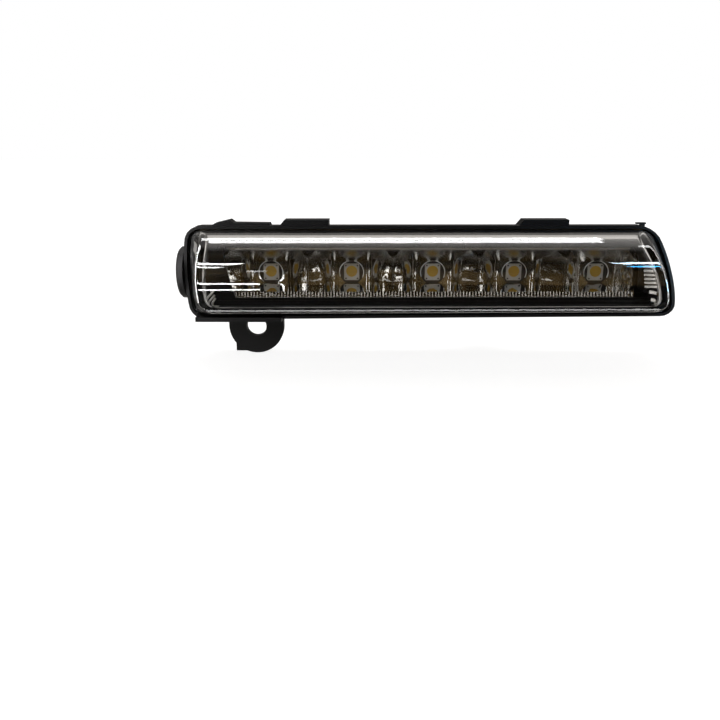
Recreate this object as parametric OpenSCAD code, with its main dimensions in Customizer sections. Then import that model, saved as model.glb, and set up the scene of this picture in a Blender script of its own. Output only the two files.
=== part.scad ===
/* [LED row] */
// Number of LEDs in the row
led_count = 5; // [3:1:7]
// Distance between neighbouring LEDs
led_pitch = 32; // [29:0.5:36]
// Width of one LED package
led_w = 6; // [5:0.1:6.2]
// Height of one LED package
led_h = 6.6; // [5:0.1:6.8]
// Thickness of one LED package
led_t = 0.9; // [0.7:0.1:1]
// Diameter of the phosphor disc on a package
phosphor_d = 4.4; // [3.5:0.1:4.8]
// Height of the phosphor disc above its package
phosphor_t = 0.15; // [0.1:0.05:0.3]

/* [Lens] */
// Height of the lens skirt at the rim, on the outer end of the lamp
lens_h = 34.8; // [34:0.2:36]
// Height of the skirt's top edge above the LED axis
lens_top = 16.5; // [16:0.1:17.5]
// Depth of the lens from the rim to the front face
lens_depth = 26.2; // [25.8:0.2:29]
// Wall thickness of the lens
lens_wall = 2.4; // [2:0.1:2.6]
// Radius of the bullnose along the top of the lens
bullnose_r = 15; // [13:0.5:15.4]
// Reach of the front face past the first LED
front_reach_left = 24.8; // [23.5:0.1:28]
// Reach of the front face past the last LED
front_reach_right = 20.9; // [19.5:0.1:24]
// Flare of each end wall from the front face to the rim
end_flare = 8.8; // [8.2:0.2:11]
// Extra flare of the right end at its foot
right_foot = 2.2; // [1.5:0.1:3.5]
// Set-back of the right end at the top, as the end wall sweeps away
right_sweep = 11; // [9:0.5:12.5]
// Share of its height that the lower half loses towards the right end
taper = 0.09; // [0.04:0.01:0.1]

/* [Housing] */
// Width of the lip around the lens skirt
lip_w = 1.5; // [1:0.1:2.2]
// Thickness of the rim flange
flange_t = 5.4; // [4.8:0.1:6.5]
// Wall thickness of the rear body
body_wall = 2.5; // [2:0.1:2.8]
// Distance of the rear body's side inside the lens outline
body_inset = 3; // [2.7:0.1:3.1]
// Distance of the rear wall's outer face behind the LED plane
body_back = 20; // [19.6:0.1:24]
// Thickness of the rear wall
back_wall = 2.5; // [2:0.1:2.7]
// Thickness of the sealant bead under the skirt
bead_t = 1; // [0.6:0.1:1.2]
// Outer width of the connector shroud
shroud_w = 22; // [20:0.5:26]
// Outer height of the connector shroud
shroud_h = 14; // [12:0.5:15]
// Length of the connector shroud behind the rear wall
shroud_len = 12; // [10:0.5:16]
// Wall thickness of the connector shroud
shroud_wall = 1.8; // [1.4:0.1:2.2]

/* [Fixing tab and lugs] */
// Radius of the fixing hole in the tab
hole_r = 4.1; // [3:0.05:4.4]
// Width of the tab, twice the radius of its round end
tab_w = 22.8; // [18:0.1:24]
// Thickness of the tab
tab_t = 3; // [2.5:0.1:4]
// Distance of the fixing hole to the left of the LED row's centre
tab_x = -72; // [-76:0.5:-60]
// Distance of the fixing hole below the LED axis
tab_z = -23.9; // [-26:0.1:-23.9]
// Thickness of the ledge that carries the tab
ledge_t = 1.8; // [1.4:0.1:1.9]
// Width of each lug on the top edge
lug_w = 17.6; // [14:0.2:22]
// Height of each lug above the flange
lug_h = 2.1; // [1.4:0.1:2.6]

/* [Reflector and bezel] */
// Depth of the reflector cells in front of the LED plane
cell_depth = 17; // [15:0.5:17.4]
// Half width of the flat back wall of a cell
back_half = 7.5; // [6:0.1:9]
// Height of the cell's back wall above the LED axis
back_top = 3.8; // [3:0.1:5]
// Distance of the mirror floor below the LED axis
floor_drop = 4.15; // [3.8:0.05:4.2]
// Wall thickness of the reflector
mirror_wall = 1.2; // [0.9:0.1:1.3]
// Radius of the hole around each LED
led_hole_r = 4.75; // [4.6:0.05:4.9]
// Pitch of the ribs on the strip in front of the floor
rib_pitch = 1.15; // [0.9:0.05:1.6]
// Depth of those ribs
rib_depth = 0.5; // [0.3:0.05:0.7]
// Wall thickness of the bezel
bezel_wall = 1.4; // [1:0.1:1.5]
// Clearance between the lens and the bezel
bezel_gap = 0.8; // [0.5:0.05:1]

/* [Electronics] */
// Height of the LED board and its pad
board_h = 16; // [14:0.5:17]
// Thickness of the LED board
board_t = 1.6; // [1:0.1:1.8]
// Thickness of the thermal pad
pad_t = 0.5; // [0.3:0.1:0.8]
// Thickness of the heat spreader's plate
spreader_t = 2.5; // [2:0.1:3]
// Length of the fins behind that plate
fin_len = 8; // [4:0.5:9]
// Length of the driver board
driver_w = 80; // [76:1:86]
// Height of the driver board
driver_h = 18; // [16:0.5:19]
// Thickness of the driver board
driver_t = 1.6; // [1:0.1:1.8]
// Diameter of the screw shanks
screw_d = 2.2; // [1.8:0.1:2.5]

/* [End cap and breather] */
// Diameter of the round cap on the left end
cap_d = 21; // [16:0.5:22]
// Thickness of that cap
cap_t = 2.7; // [2:0.1:4]
// Diameter of the breather cap
vent_d = 12; // [10:0.5:14]

/* [Hidden] */
// Places along the depth are measured from the LED plane, backwards positive
rim_y = 2;
bead_y = rim_y + bead_t;
lip_y = 0.6;
flange_back = lip_y + flange_t;
back_inner = body_back - back_wall;
front_y = rim_y - lens_depth;

row_half = led_pitch * (led_count - 1) / 2;
rim_left = -row_half - front_reach_left - end_flare;
rim_right = row_half + front_reach_right + end_flare + right_foot;
face_left = -row_half - front_reach_left;
face_right = row_half + front_reach_right;
rim_top = lens_top;
rim_bottom = lens_top - lens_h;
face_bottom = rim_bottom + 6.7;
corner_r = 4;
face_corner_r = 5;
side_bow = 1.5;
face_bow = 2.4;

bezel_out = lens_wall + bezel_gap;
bezel_in = bezel_out + bezel_wall;
cavity_in = body_inset + body_wall;
mask_play = 0.3;

floor_z = -floor_drop;
mirror_front = -cell_depth;
mirror_back = 0.6;
board_y = mirror_back + 0.4;
board_back = board_y + board_t;
pad_back = board_back + pad_t;
spreader_back = pad_back + spreader_t;
roof_front = -11.5;
roof_z = 10.2;
ridge_top = 7.4;
roof_t = 1;
strip_t = 1;
strip_bottom = floor_z - 2.6;
window_top = 11.4;
window_bottom = strip_bottom + 0.5;
last_wall_x = row_half + back_half + 1;
mirror_left = -row_half - led_pitch / 2;
mirror_right = last_wall_x + mirror_wall;

driver_back = back_inner - 2.7;
driver_y = driver_back - driver_t;
driver_x = 20;
socket_x = driver_x;
blade_gap = 0.05;
cap_y = 8.5;
key_x = 20;
key_w = 3;
key_depth = 1.1;
cap_z = -1.6;
cap_play = 0.3;
stem_r = 3;
cap_face = rim_left - lip_w - cap_play;
boss_face = rim_left;
vent_x = -52;
screw_head_d = screw_d + 2;
screw_head_t = 1.4;
boss_wall = 1.4;

tab_front = flange_back;
tab_mid = tab_front + tab_t / 2;
ledge_bottom = tab_z + hole_r;
ledge_reach = 4.2;
hook_y = 3.2;

fine = 48;

function lerp(a, b, t) = a + (b - a) * t;
function unit(v) = v / norm(v);
function flat(lists) = [for (list = lists) for (item = list) item];
function backwards(list) = [for (i = [len(list) - 1:-1:0]) list[i]];

// How far a side moves in at distance d from a corner of radius r
function corner_inset(d, r) = d >= r ? 0 : r - sqrt(r * r - pow(r - max(d, 0), 2));

// The lower half of the lamp slims towards the right end
function slim_at(x) = 1 - taper * (x - rim_left) / (rim_right - rim_left);
function slim(x, z) = z < 0 ? z * slim_at(x) : z;

// Left and right sides of the rim at height z, moved outwards by m
function left_side(z, m) =
    let (middle = (rim_top + rim_bottom) / 2, half = (rim_top - rim_bottom) / 2)
    rim_left - m + side_bow * pow((z - middle) / half, 2)
    + corner_inset(min(rim_top + m - z, z - rim_bottom + m), corner_r + m);
function right_side(z, m) =
    rim_right + m - right_sweep * pow(max(0, (z - rim_bottom) / lens_h), 2)
    - corner_inset(min(rim_top + m - z, z - rim_bottom + m), corner_r + m);

// Closed outline of the rim in the X-Z plane, moved outwards by m
function rim_outline(m) =
    let (steps = 18,
         heights = [for (k = [0:steps])
             lerp(rim_bottom - m, rim_top + m, (1 - cos(180 * k / steps)) / 2)])
    concat([for (z = heights) [left_side(z, m), slim(left_side(z, m), z)]],
           [for (z = backwards(heights)) [right_side(z, m), slim(right_side(z, m), z)]]);

// Rounds the inner vertices [x, y, radius, spans] of an open line
function rounded(line) = flat([for (i = [0:len(line) - 1])
    let (here = [line[i][0], line[i][1]])
    i == 0 || i == len(line) - 1 || line[i][2] == 0 ? [here] :
    let (before = unit([line[i - 1][0], line[i - 1][1]] - here),
         after = unit([line[i + 1][0], line[i + 1][1]] - here),
         half = acos(max(-1, min(1, before * after))) / 2,
         middle = here + unit(before + after) * line[i][2] / sin(half),
         start = here + before * line[i][2] / tan(half) - middle,
         side = before[0] * after[1] - before[1] * after[0] > 0 ? -1 : 1,
         turn = side * (180 - 2 * half),
         spans = line[i][3])
    [for (k = [0:spans])
        let (a = turn * k / spans)
        middle + [start[0] * cos(a) - start[1] * sin(a), start[0] * sin(a) + start[1] * cos(a)]]]);

// Corners [y, z, radius, spans] of the lens section along the lamp's middle, from the bottom
// of the rim to its top
corners = [
    [rim_y, rim_bottom, 0],
    [front_y + 0.6, face_bottom, 2.2, 5],
    [front_y + 0.1, window_bottom, 0],
    [front_y - 0.2, -3, 30, 3],
    [front_y + 2, rim_top + 0.3, bullnose_r, 9],
    [rim_y, rim_top, 0]];
least_r = 0.4;

// The corners moved inwards by w, each round one with a radius smaller by w
function inward(a, b) = let (along = unit([b[0] - a[0], b[1] - a[1]])) [along[1], -along[0]];
function corner_in(i, w) =
    let (here = corners[i], n0 = inward(corners[i - 1], here), n1 = inward(here, corners[i + 1]),
         middle = unit(n0 + n1), reach = w / (middle * n0))
    [here[0] + middle[0] * reach, here[1] + middle[1] * reach,
     here[2] == 0 ? 0 : max(least_r, here[2] - w), here[3]];

// The rounded section moved inwards by w, as points [y, z]
function section_in(w) =
    let (n = len(corners) - 1,
         line = rounded(concat([[rim_y, rim_bottom + w, 0]], [for (i = [1:n - 1]) corner_in(i, w)],
                               [[rim_y, rim_top - w, 0]])),
         m = len(line) - 1)
    concat([line[0], lerp(line[0], line[1], 0.5)], [for (i = [1:m - 1]) line[i]],
           [lerp(line[m - 1], line[m], 0.5), line[m]]);
section = section_in(0);
rows = len(section);

function left_face(z) = face_left + face_bow * pow(z / rim_top, 2)
    + corner_inset(z - face_bottom, face_corner_r);
function right_face(z) = face_right - 9 * pow(max(0, (z - face_bottom) / (rim_top - face_bottom)), 2)
    - corner_inset(z - face_bottom, face_corner_r);

// Sides of the window in front of the reflector, at height z
function window_left(z) =
    mirror_left + lerp(5.4, 1, max(0, min(1, (z - window_bottom) / (window_top - window_bottom))));
function window_right(z) = last_wall_x + 1 + 4 * max(0, min(1, (-2 - z) / 3));

// One row across the shell: rim, rounded crease, window sides, rounded crease, rim
function crease(a, b, c) =
    let (reach = min(1.2, norm(a - b) / 2, norm(c - b) / 2),
         p = b + unit(a - b) * reach, q = b + unit(c - b) * reach)
    [for (t = [0:0.25:1]) lerp(lerp(p, b, t), lerp(b, q, t), t)];
function shell_row(i, w, place) =
    let (share = i / (rows - 1),
         z = lerp(rim_bottom + w, rim_top - w, (1 - cos(180 * share)) / 2),
         zc = share < 0.5 ? rim_bottom : rim_top,
         depth = max(0, min(1, (rim_y - section[i][0]) / lens_depth)),
         zf = max(face_bottom, section[i][1]),
         xl = lerp(left_side(zc, 0) + 0.8, left_face(zf), depth) + w,
         xr = lerp(right_side(zc, 0) - 0.8, right_face(zf), depth) - w,
         rl = [left_side(z, -w), rim_y, z],
         rr = [right_side(z, -w), rim_y, z],
         cl = [xl, place[0], place[1]],
         cr = [xr, place[0], place[1]],
         row = concat([rl], crease(rl, cl, cr),
                      [[max(xl + 1.5, window_left(section[i][1])), cl[1], cl[2]],
                       [0, cl[1], cl[2]],
                       [min(xr - 1.5, window_right(section[i][1])), cl[1], cl[2]]],
                      crease(cl, cr, rr), [rr]))
    [for (p = row) [p[0], p[1], slim(p[0], p[2])]];
function shell_grid(w) = let (line = section_in(w)) [for (i = [0:rows - 1]) shell_row(i, w, line[i])];

// Closed solid between the lens surface moved in by w0 and by w1. gap gives the first and
// last row and column of a window that is left open
module shell(w0, w1, gap = [0, 0, 0, 0]) {
    outside = shell_grid(w0);
    inside = shell_grid(w1);
    m = len(outside[0]);
    n = rows * m;
    function at(s, i, j) = s * n + i * m + j;
    function open(i, j) = i >= gap[0] && i < gap[1] && j >= gap[2] && j < gap[3];
    function quad(a, b, c, d) = [[a, b, c], [a, c, d]];
    function low_edge(i, j) = quad(at(0, i, j), at(0, i, j + 1), at(1, i, j + 1), at(1, i, j));
    function high_edge(i, j) = quad(at(0, i, j), at(1, i, j), at(1, i, j + 1), at(0, i, j + 1));
    function left_edge(i, j) = quad(at(0, i, j), at(1, i, j), at(1, i + 1, j), at(0, i + 1, j));
    function right_edge(i, j) = quad(at(0, i, j), at(0, i + 1, j), at(1, i + 1, j), at(1, i, j));
    sheets = [for (i = [0:rows - 2]) for (j = [0:m - 2]) if (!open(i, j)) each concat(
        quad(at(0, i, j), at(0, i + 1, j), at(0, i + 1, j + 1), at(0, i, j + 1)),
        quad(at(1, i, j), at(1, i, j + 1), at(1, i + 1, j + 1), at(1, i + 1, j)))];
    rim = concat([for (j = [0:m - 2]) each concat(low_edge(0, j), high_edge(rows - 1, j))],
                 [for (i = [0:rows - 2]) each concat(left_edge(i, 0), right_edge(i, m - 1))]);
    sill = gap[1] == 0 ? [] : concat(
        [for (j = [gap[2]:gap[3] - 1]) each concat(high_edge(gap[0], j), low_edge(gap[1], j))],
        [for (i = [gap[0]:gap[1] - 1]) each concat(right_edge(i, gap[2]), left_edge(i, gap[3]))]);
    // Zeros leave the size as it is: this only hands the shell on as one closed mesh
    resize([0, 0, 0]) polyhedron(points = concat(flat(outside), flat(inside)),
                                 faces = concat(sheets, rim, sill), convexity = 6);
}

// Everything is modelled about the LED row and then set on the fixing hole
module place() {
    translate([-tab_x, -tab_mid, -tab_z]) children();
}

// Extrudes an X-Z outline from depth y0 back to depth y1
module slab(y0, y1) {
    translate([0, y1, 0]) rotate([90, 0, 0]) linear_extrude(y1 - y0) children();
}

// Round bar or bore along the depth
module bar(x, z, r, y0, y1) {
    translate([x, y0, z]) rotate([-90, 0, 0]) cylinder(r = r, h = y1 - y0, $fn = fine);
}

module block(x0, x1, y0, y1, z0, z1) {
    translate([x0, y0, z0]) cube([x1 - x0, y1 - y0, z1 - z0]);
}

// Lug on the top edge: a flat pad with a sloping left flank
module top_lug(x) {
    slab(lip_y + 1.4, flange_back + 3)
        polygon([[x - 3, rim_top], [x, rim_top + lip_w + lug_h],
                 [x + lug_w, rim_top + lip_w + lug_h], [x + lug_w, rim_top]]);
}

// Round end of the eye tab, with a straight neck up to the ledge
module tab_outline() {
    translate([tab_x, tab_z]) circle(d = tab_w, $fn = fine);
    translate([tab_x - tab_w / 2, tab_z]) square([tab_w, ledge_bottom + ledge_t - tab_z]);
}

// Hollow post with a pilot hole for a screw, standing on the rear wall
module post(x, z, y0) {
    difference() {
        bar(x, z, screw_d / 2 + boss_wall, y0, back_inner + 0.1);
        bar(x, z, screw_d / 2, y0 - 1, back_inner - 0.6);
    }
}

spreader_x0 = -row_half - 22;
spreader_x1 = row_half + 16;
spreader_posts = [[spreader_x0 + 3.5, 4], [spreader_x0 + 3.5, -5],
                  [spreader_x1 - 3.5, 4], [spreader_x1 - 3.5, -5]];
driver_posts = [for (sx = [-1, 1]) for (sz = [-1, 1])
    [driver_x + sx * (driver_w / 2 - 4), sz * (driver_h / 2 - 3.5) + 0.5]];
blade_xs = [socket_x - 4, socket_x + 4];
blade_w = 2.8;
blade_t = 0.8;

// Black moulded tray with its rim, ledge, eye tab, lugs and connector shroud
module rear_housing() {
    color([0.05, 0.05, 0.055]) place() difference() {
        union() {
            slab(lip_y, flange_back) polygon(rim_outline(lip_w));
            slab(flange_back - 0.1, body_back) polygon(rim_outline(-body_inset));
            ledge_x0 = rim_left + 2.6;
            ledge_x1 = tab_x + tab_w / 2 + 0.4;
            block(ledge_x0, ledge_x1, lip_y - ledge_reach, flange_back + tab_t, ledge_bottom,
                  ledge_bottom + ledge_t);
            slab(tab_front, tab_front + tab_t) tab_outline();
            block(tab_x - tab_w / 2 + 2, tab_x - tab_w / 2 + 6.8, tab_front + tab_t - 0.1,
                  tab_front + tab_t + 3, tab_z - tab_w / 2, tab_z - tab_w / 2 + 6);
            top_lug(-row_half + 5.4);
            top_lug(row_half - 28.6);
            slab(lip_y + 2, flange_back + 2) polygon([
                [rim_left + 2.2, rim_top - 3], [rim_left + 11.4, rim_top + lip_w + 0.8],
                [rim_left + 17.4, rim_top + lip_w + 2.2], [rim_left + 19, rim_top + lip_w + 1],
                [rim_left + 33, rim_top + lip_w + 0.8], [rim_left + 34, rim_top]]);
            block(rim_right - 14.8, rim_right - 13.1, hook_y, hook_y + 1.8, rim_top - 2, rim_top + lip_w + 0.4);
            block(rim_right - 16.4, rim_right - 12.7, hook_y, hook_y + 1.8,
                  rim_top + lip_w + 0.3, rim_top + lip_w + 0.9);
            translate([boss_face, cap_y, cap_z]) rotate([0, 90, 0])
                cylinder(r = stem_r + 2, h = body_inset + 2, $fn = fine);
            block(socket_x - shroud_w / 2, socket_x + shroud_w / 2, body_back - 0.1,
                  body_back + shroud_len, -shroud_h / 2, shroud_h / 2);
            bar(vent_x, 0, vent_d / 2 - 2, body_back - 0.1, body_back + 2.5);
            for (x = [-row_half - 14, -row_half + 28, row_half - 14, row_half + 8])
                block(x, x + 1.6, body_back - 0.1, body_back + 1.5, -9, 9);
        }
        difference() {
            slab(lip_y - 1, bead_y) polygon(rim_outline(mask_play));
            slab(lip_y - 2, bead_y + 1) polygon(rim_outline(-lens_wall - mask_play));
        }
        slab(lip_y - 1, rim_y) polygon(rim_outline(-lens_wall - mask_play + 0.1));
        slab(rim_y - 1, back_inner) polygon(rim_outline(-cavity_in));
        bar(tab_x, tab_z, hole_r, tab_front - 1, tab_front + tab_t + 1);
        bar(vent_x, 0, 1.5, back_inner - 1, body_back + 4);
        translate([rim_left - 2, cap_y, cap_z]) rotate([0, 90, 0])
            cylinder(r = stem_r + 0.1, h = cavity_in + 6, $fn = fine);
        translate([cap_face, cap_y, cap_z]) rotate([0, 90, 0])
            cylinder(r = stem_r + 2, h = boss_face - cap_face, $fn = fine);
        block(socket_x - shroud_w / 2 + shroud_wall, socket_x + shroud_w / 2 - shroud_wall,
              body_back, body_back + shroud_len + 1, -shroud_h / 2 + shroud_wall, shroud_h / 2 - shroud_wall);
        for (x = blade_xs)
            block(x - blade_w / 2 - blade_gap, x + blade_w / 2 + blade_gap, back_inner - 1,
                  body_back + 1, -blade_t / 2 - blade_gap, blade_t / 2 + blade_gap);
    }
    color([0.05, 0.05, 0.055]) place() {
        for (p = spreader_posts) post(p[0], p[1], spreader_back);
        for (p = driver_posts) post(p[0], p[1], driver_back);
    }
}

// Keying notch in the lower back edge of a skirt whose wall starts w inside the lens
module key_notch(w) {
    block(key_x, key_x + key_w, rim_y - key_depth, rim_y + 1, rim_bottom - 1, rim_bottom + w + 3);
}

// Clear moulded cover: bullnose top, near-flat face, flared end walls
module lens() {
    color([0.75, 0.75, 0.75, 0.35]) place() difference() {
        shell(0, lens_wall);
        key_notch(lens_wall);
    }
}

// Bead of sealant in the channel under the lens skirt
module lens_seal() {
    color([0.16, 0.16, 0.17]) place() difference() {
        slab(rim_y, bead_y) polygon(rim_outline(0));
        slab(rim_y - 1, bead_y + 1) polygon(rim_outline(-lens_wall));
    }
}

// Black mask behind the lens, open in front of the reflector, fluted at its ends
module bezel() {
    first = [for (i = [0:rows - 1]) if (section[i][1] >= window_bottom - 0.01) i][0];
    last = [for (i = [0:rows - 1]) if (section[i][1] < window_top + 3) i];
    color([0.04, 0.04, 0.045]) place() difference() {
        shell(bezel_out, bezel_in, [first, max(last), 6, 8]);
        key_notch(bezel_in);
    }
}

// Plan of the reflector's front, cell by cell, and of its back one wall behind
module mirror_plan() {
    run = led_pitch / 2 - back_half;
    slope = cell_depth / run;
    lean = norm([1, 1 / slope]);
    turn = tan(atan(slope) / 2);
    centres = [for (i = [0:led_count - 1]) -row_half + i * led_pitch];
    front = concat([[mirror_left, mirror_front, 0]],
        flat([for (x = centres)
            let (last = x > row_half - 1)
            [[x - back_half, mirror_back - mirror_wall, 2.8, 4],
             [x + back_half, mirror_back - mirror_wall, last ? 0.8 : 2.8, 4],
             [last ? last_wall_x : x + led_pitch / 2, mirror_front, last ? 0 : 0.5, 3]]]));
    back = concat([[mirror_left - mirror_wall, mirror_front]],
        flat([for (x = centres)
            let (last = x > row_half - 1, first = x < -row_half + 1,
                 shift = turn * mirror_wall)
            [[x - back_half - shift, mirror_back],
             [x + back_half + shift, mirror_back],
             last ? [last_wall_x + mirror_wall, mirror_front]
                  : [x + led_pitch / 2, mirror_front + mirror_wall * lean * slope]]]));
    polygon(concat(rounded(front), backwards(back)));
}

// Chromed moulding: five cells, a mirror floor, a sloping roof and a ribbed strip
module reflector() {
    rib_count = floor((mirror_right - mirror_left) / rib_pitch);
    screw_xs = [for (i = [0:led_count - 2]) -row_half + (i + 0.5) * led_pitch];
    profile = [[mirror_back, floor_z], [mirror_back, back_top], [roof_front, roof_z],
               [mirror_front, ridge_top], [mirror_front, floor_z]];
    color([0.8, 0.8, 0.82]) place() difference() {
        union() {
            intersection() {
                translate([0, 0, floor_z]) linear_extrude(roof_z - floor_z) mirror_plan();
                translate([mirror_left - 2, 0, 0]) rotate([90, 0, 90])
                    linear_extrude(mirror_right - mirror_left + 4) polygon(profile);
            }
            block(mirror_left - mirror_wall, mirror_right, mirror_front, mirror_back,
                  floor_z - mirror_wall, floor_z);
            translate([mirror_left - mirror_wall, 0, 0]) rotate([90, 0, 90])
                linear_extrude(mirror_right - mirror_left + mirror_wall)
                polygon([[mirror_back, back_top], [mirror_back, back_top + roof_t],
                         [roof_front, roof_z + roof_t], [roof_front, roof_z]]);
            translate([0, 0, strip_bottom]) linear_extrude(floor_z - strip_bottom)
                polygon(concat([[mirror_left, mirror_front + 0.4]],
                    flat([for (k = [0:rib_count - 1])
                        [[mirror_left + k * rib_pitch, mirror_front - strip_t + rib_depth],
                         [mirror_left + (k + 0.5) * rib_pitch, mirror_front - strip_t]]]),
                    [[mirror_left + rib_count * rib_pitch, mirror_front - strip_t + rib_depth],
                     [mirror_left + rib_count * rib_pitch, mirror_front + 0.4]]));
            for (x = screw_xs)
                bar(x, 1, screw_d / 2 + boss_wall - 0.4, -11.5, board_y);
        }
        for (i = [0:led_count - 1])
            bar(-row_half + i * led_pitch, 0, led_hole_r, mirror_back - mirror_wall - 1, mirror_back + 1);
        for (x = screw_xs) bar(x, 1, screw_d / 2, -6, board_y + 1);
    }
}

module screw_holes() {
    for (i = [0:led_count - 2])
        bar(-row_half + (i + 0.5) * led_pitch, 1, screw_d / 2 + 0.15, board_y - 1, spreader_back + 1);
}

board_x0 = -row_half - 15;
board_x1 = row_half + 10;

// Metal-core board that carries the LEDs
module led_board() {
    color([0.86, 0.86, 0.84]) place() difference() {
        block(board_x0, board_x1, board_y, board_back, -board_h / 2, board_h / 2);
        screw_holes();
    }
}

module led_package(i) {
    x = -row_half + (i - 1) * led_pitch;
    chamfer = 0.5;
    color([0.78, 0.77, 0.74]) place() slab(board_y - led_t, board_y)
        polygon([for (s = [[1, 1], [-1, 1], [-1, -1], [1, -1]]) each
            (s[0] * s[1] > 0
                ? [[x + s[0] * led_w / 2, s[1] * (led_h / 2 - chamfer)],
                   [x + s[0] * (led_w / 2 - chamfer), s[1] * led_h / 2]]
                : [[x + s[0] * (led_w / 2 - chamfer), s[1] * led_h / 2],
                   [x + s[0] * led_w / 2, s[1] * (led_h / 2 - chamfer)]])]);
}

module led_phosphor(i) {
    color([0.75, 0.6, 0.1]) place()
        bar(-row_half + (i - 1) * led_pitch, 0.3, phosphor_d / 2,
            board_y - led_t - phosphor_t, board_y - led_t);
}

// Soft pad between the board and the heat spreader
module thermal_pad() {
    color([0.55, 0.6, 0.68]) place() difference() {
        block(board_x0 + 1, board_x1 - 1, board_back, pad_back, -board_h / 2 + 1, board_h / 2 - 1);
        screw_holes();
    }
}

// Aluminium plate with upright fins behind the first LEDs
module heat_spreader() {
    fin_pitch = 4;
    fin_t = 1.2;
    fin_x0 = spreader_x0 + 10;
    fin_top = -1.6;
    fins = floor((driver_x - driver_w / 2 - 3 - fin_x0) / fin_pitch);
    color([0.72, 0.73, 0.75]) place() difference() {
        union() {
            block(spreader_x0, spreader_x1, pad_back, spreader_back, -board_h / 2 - 0.5, board_h / 2 - 0.5);
            for (k = [0:fins - 1])
                block(fin_x0 + k * fin_pitch, fin_x0 + k * fin_pitch + fin_t, spreader_back - 0.1,
                      spreader_back + fin_len, -board_h / 2 - 0.5, fin_top);
        }
        screw_holes();
        for (p = spreader_posts)
            bar(p[0], p[1], screw_d / 2 + 0.15, pad_back - 1, spreader_back + 1);
    }
}

// Circuit board with the LED driver, on four posts of the rear wall
module driver_board() {
    color([0.08, 0.3, 0.16]) place() difference() {
        block(driver_x - driver_w / 2, driver_x + driver_w / 2, driver_y, driver_back,
              -driver_h / 2 + 0.5, driver_h / 2 + 0.5);
        for (p = driver_posts) bar(p[0], p[1], screw_d / 2 + 0.15, driver_y - 1, driver_back + 1);
        for (x = blade_xs)
            block(x - blade_w / 2 - blade_gap, x + blade_w / 2 + blade_gap, driver_y - 1,
                  driver_back + 1, -blade_t / 2 - blade_gap, blade_t / 2 + blade_gap);
    }
}

// Part of size [x, depth, z] standing on the front of the driver board
module on_driver(x, z, size) {
    block(driver_x + x - size[0] / 2, driver_x + x + size[0] / 2, driver_y - size[1], driver_y,
          z - size[2] / 2, z + size[2] / 2);
}

module driver_chip() {
    color([0.1, 0.1, 0.1]) place() on_driver(-8, -3, [5, 1.2, 6]);
}

module inductor() {
    color([0.25, 0.22, 0.2]) place() on_driver(-20, 0, [10, 4, 10]);
}

module input_capacitor() {
    color([0.2, 0.25, 0.5]) place()
        bar(driver_x + 24, 0, 4, driver_y - 5.5, driver_y);
}

module output_capacitor() {
    color([0.2, 0.25, 0.5]) place()
        bar(driver_x + 14, 0, 3.2, driver_y - 5.5, driver_y);
}

module reverse_diode() {
    color([0.12, 0.12, 0.12]) place() on_driver(6, 5, [5, 2.2, 3.5]);
}

module surge_suppressor() {
    color([0.15, 0.15, 0.15]) place() on_driver(6, -5, [6, 2.3, 4]);
}

module sense_resistors() {
    color([0.2, 0.2, 0.2]) place()
        for (k = [0:3]) on_driver(-11 + k * 4, 5.5, [2, 0.6, 1.25]);
}

link_x = driver_x - driver_w / 2 + 14;
link_hole = 0.1;

// Moulded body and pins of the link between the two boards
module link_header() {
    color([0.1, 0.1, 0.1]) place() difference() {
        block(link_x - 4, link_x + 4, driver_y - 2.5, driver_y, -7.9, -5.4);
        for (k = [-1:1]) bar(link_x + k * 2.54, -6.65, 0.5, driver_y - 4, driver_y + 1);
    }
}

module link_pins() {
    color([0.8, 0.65, 0.3]) place()
        for (k = [-1:1]) bar(link_x + k * 2.54, -6.65, 0.5, spreader_back + 0.3, driver_y);
}

module terminal(k) {
    color([0.8, 0.75, 0.6]) place()
        block(blade_xs[k - 1] - blade_w / 2, blade_xs[k - 1] + blade_w / 2, driver_y - 0.6,
              body_back + shroud_len - 3, -blade_t / 2, blade_t / 2);
}

// Breather on the rear wall: a disc of membrane under a snap-on cap
module vent_membrane() {
    color([0.9, 0.9, 0.9]) place() bar(vent_x, 0, vent_d / 2 - 2.2, body_back + 2.5, body_back + 2.8);
}

module vent_cap() {
    color([0.1, 0.1, 0.1]) place() difference() {
        bar(vent_x, 0, vent_d / 2, body_back + 0.8, body_back + 4.6);
        bar(vent_x, 0, vent_d / 2 - 2 + 0.05, body_back - 1, body_back + 3.4);
        for (a = [0:90:270])
            translate([vent_x, 0, 0]) rotate([0, a, 0])
                block(vent_d / 2 - 2.5, vent_d, body_back + 0.7, body_back + 2, -1, 1);
    }
}

// Round cap on the left end, plugged into the boss there
module end_cap() {
    color([0.07, 0.07, 0.075]) place() translate([cap_face, cap_y, cap_z]) rotate([0, -90, 0]) {
        difference() {
            union() {
                cylinder(d = cap_d, h = cap_t - 0.8, $fn = fine);
                translate([0, 0, cap_t - 0.8 - 0.01])
                    cylinder(d1 = cap_d, d2 = cap_d - 1.6, h = 0.81, $fn = fine);
            }
            translate([0, 0, cap_t - 0.6]) cylinder(d = cap_d - 8, h = 1, $fn = fine);
        }
        mirror([0, 0, 1]) cylinder(r = stem_r, h = body_inset + 4, $fn = fine);
    }
}

module end_cap_seal() {
    section_r = (boss_face - cap_face) / 2;
    color([0.15, 0.15, 0.15]) place()
        translate([cap_face + section_r, cap_y, cap_z]) rotate([0, 90, 0])
        rotate_extrude($fn = fine) translate([stem_r + section_r, 0]) circle(r = section_r, $fn = 24);
}

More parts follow.
